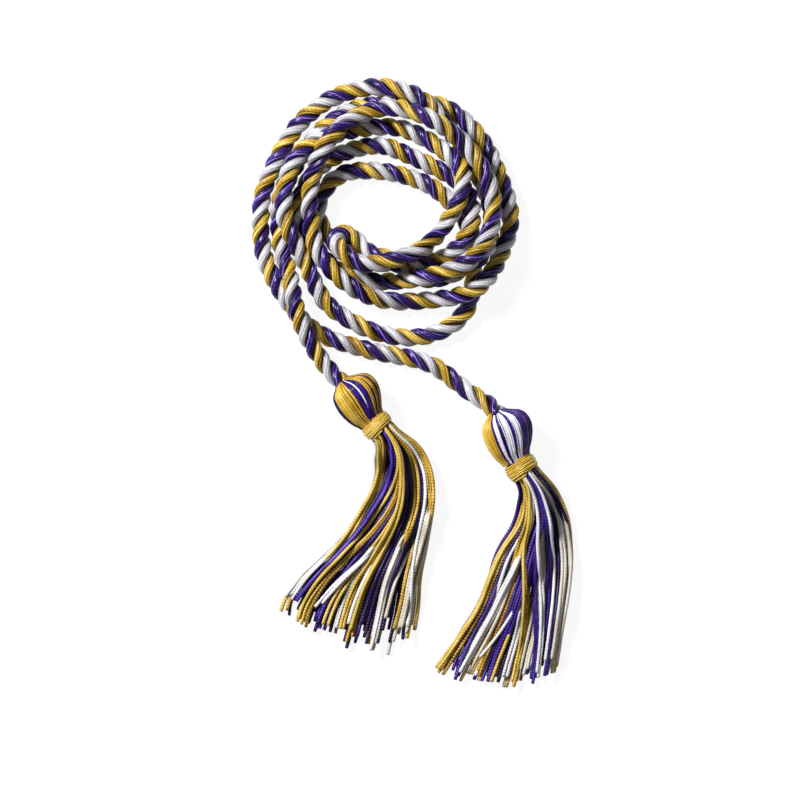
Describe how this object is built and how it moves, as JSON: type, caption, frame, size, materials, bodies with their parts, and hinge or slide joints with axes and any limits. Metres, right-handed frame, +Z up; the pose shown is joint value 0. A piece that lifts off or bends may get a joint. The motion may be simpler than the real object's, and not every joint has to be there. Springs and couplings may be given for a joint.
{
  "type": "honor cord",
  "caption": "Three-ply twisted satin rope with a round-headed tassel on each end, folded at its middle, wound into a loose coil and lying flat.",
  "frame": {"origin": "middle of the whole cord's outline as it lies, on the surface that it lies on", "axes": "+X to the right across the coil, +Y from the tassels towards the coil, +Z up from the surface"},
  "size_m": [0.1278, 0.2438, 0.0218],
  "materials": {
    "purple_rayon": "twisted satin rayon yarn, deep purple",
    "gold_rayon": "twisted satin rayon yarn, old gold",
    "white_rayon": "twisted satin rayon yarn, cool white"
  },
  "bodies": {
    "root": {"rope": "purple_rayon", "tassel_head_left": "gold_rayon", "tassel_head_right": "white_rayon", "neck_binding_left": "gold_rayon", "neck_binding_right": "gold_rayon", "tassel_skirt_left": "gold_rayon", "tassel_skirt_right": "white_rayon"}
  },
  "joints": []
}
